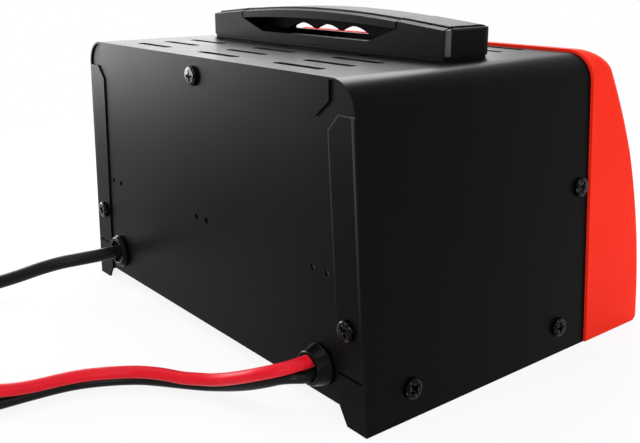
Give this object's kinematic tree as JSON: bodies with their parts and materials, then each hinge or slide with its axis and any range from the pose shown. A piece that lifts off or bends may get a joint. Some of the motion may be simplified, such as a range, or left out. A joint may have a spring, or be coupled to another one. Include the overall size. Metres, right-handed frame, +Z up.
{
  "type": "battery charger",
  "caption": "Transformer car battery charger in a folded steel case with a moulded front, lifting carry handle, mains lead with plug, and charging leads with clamps.",
  "frame": {"origin": "on the floor under the middle of the case's bounding box, measured without the free leads", "axes": "+Z up, front with the controls faces -Y, the leads leave at +Y, +X to the right seen from the front"},
  "size_m": [0.425, 0.4444, 0.1708],
  "materials": {
    "case_steel": "satin powder coat",
    "chassis_steel": "satin powder coat",
    "front_plastic": "moulded, satin gloss",
    "plate_metal": "matt",
    "handle_plastic": "fine grain",
    "pad_rubber": "matt",
    "zinc_screw": "zinc plated",
    "black_screw": "black zinc",
    "bushing_rubber": "moulded",
    "core_steel": "varnished laminations",
    "former_plastic": "nylon",
    "copper": "enamelled copper",
    "strap_steel": "zinc plated",
    "block_plastic": "moulded",
    "sink_aluminium": "mill finish",
    "rectifier_epoxy": "epoxy",
    "black_plastic": "moulded",
    "white_plastic": "moulded",
    "dial_card": "matt print",
    "movement_metal": "plain",
    "needle_metal": "painted",
    "clear_plastic": "clear",
    "red_rocker": "moulded",
    "red_lens": "tinted",
    "green_lens": "tinted",
    "wire_sheath": "wire insulation",
    "cord_black": "extruded sheath",
    "cord_red": "extruded sheath",
    "tie_plastic": "strap",
    "pin_nickel": "nickel plated",
    "clamp_red": "sleeved steel",
    "clamp_black": "sleeved steel",
    "spring_steel": "zinc plated"
  },
  "bodies": {
    "charger": {"cover": "case_steel", "chassis": "chassis_steel", "front_moulding": "front_plastic", "control_plate": "plate_metal", "handle_base": "handle_plastic", "handle_screws": "zinc_screw", "rear_screws": "black_screw", "side_screws": "black_screw", "plate_screws": "zinc_screw", "mains_bushing": "bushing_rubber", "lead_bushing": "bushing_rubber", "transformer_core": "core_steel", "bobbin": "former_plastic", "primary_winding": "copper", "secondary_winding": "copper", "core_strap": "strap_steel", "core_bolts": "zinc_screw", "terminal_block": "block_plastic", "heat_sink": "sink_aluminium", "rectifier": "rectifier_epoxy", "breaker_body": "black_plastic", "ammeter_case": "black_plastic", "ammeter_movement": "movement_metal", "ammeter_dial": "dial_card", "ammeter_window": "clear_plastic", "mains_switch": "black_plastic", "voltage_switch": "black_plastic", "rate_switch": "black_plastic", "mains_lamp": "red_lens", "charge_lamp": "green_lens", "mains_wiring": "wire_sheath", "charging_wiring": "wire_sheath", "mains_lead": "cord_black", "mains_coil": "cord_black", "mains_tail": "cord_black", "plug_body": "bushing_rubber", "plug_pins": "pin_nickel", "red_lead": "cord_red", "red_coil": "cord_red", "red_tail": "cord_red", "black_lead": "cord_black", "black_coil": "cord_black", "black_tail": "cord_black", "coil_ties": "tie_plastic", "red_clamp_arm": "clamp_red", "red_clamp_spring": "spring_steel", "black_clamp_arm": "clamp_black", "black_clamp_spring": "spring_steel", "clamp_pins": "zinc_screw"},
    "grip": {"handle_grip": "handle_plastic", "grip_pad": "pad_rubber", "grip_stops": "zinc_screw"},
    "mains_rocker_body": {"mains_rocker": "red_rocker"},
    "voltage_rocker_body": {"voltage_rocker": "black_plastic"},
    "rate_rocker_body": {"rate_rocker": "black_plastic"},
    "reset": {"reset_button": "white_plastic"},
    "needle": {"ammeter_needle": "needle_metal"},
    "red_jaw": {"red_clamp_jaw": "clamp_red"},
    "black_jaw": {"black_clamp_jaw": "clamp_black"}
  },
  "joints": [
    {"name": "grip_lift", "type": "slide", "parent": "charger", "child": "grip", "axis": [0, 0, 1], "range_m": [0, 0.018]},
    {"name": "mains_rocker_tilt", "type": "hinge", "parent": "charger", "child": "mains_rocker_body", "pos_m": [0, -0.08548, 0.0871], "axis": [-1, 0, 0], "range_deg": [0, 20]},
    {"name": "voltage_rocker_tilt", "type": "hinge", "parent": "charger", "child": "voltage_rocker_body", "pos_m": [0.032, -0.08548, 0.0871], "axis": [-1, 0, 0], "range_deg": [0, 20]},
    {"name": "rate_rocker_tilt", "type": "hinge", "parent": "charger", "child": "rate_rocker_body", "pos_m": [0.064, -0.08548, 0.0871], "axis": [-1, 0, 0], "range_deg": [0, 20]},
    {"name": "reset_press", "type": "slide", "parent": "charger", "child": "reset", "axis": [0, 0.9733, -0.2295], "range_m": [0, 0.003], "stiffness_N_per_m": 300, "springref_m": -0.001},
    {"name": "needle_swing", "type": "hinge", "parent": "charger", "child": "needle", "pos_m": [-0.058, -0.09127, 0.06689], "axis": [0, 0.9733, -0.2295], "range_deg": [0, 80], "stiffness_Nm_per_rad": 0.0002, "springref_deg": -8.59},
    {"name": "red_jaw_open", "type": "hinge", "parent": "charger", "child": "red_jaw", "pos_m": [0.112, 0.3165, 0.0083], "axis": [0, 0, 1], "range_deg": [0, 24], "stiffness_Nm_per_rad": 0.6, "springref_deg": -28.65},
    {"name": "black_jaw_open", "type": "hinge", "parent": "charger", "child": "black_jaw", "pos_m": [-0.098, 0.2845, 0.0083], "axis": [0, 0, 1], "range_deg": [0, 24], "stiffness_Nm_per_rad": 0.6, "springref_deg": -28.65}
  ]
}
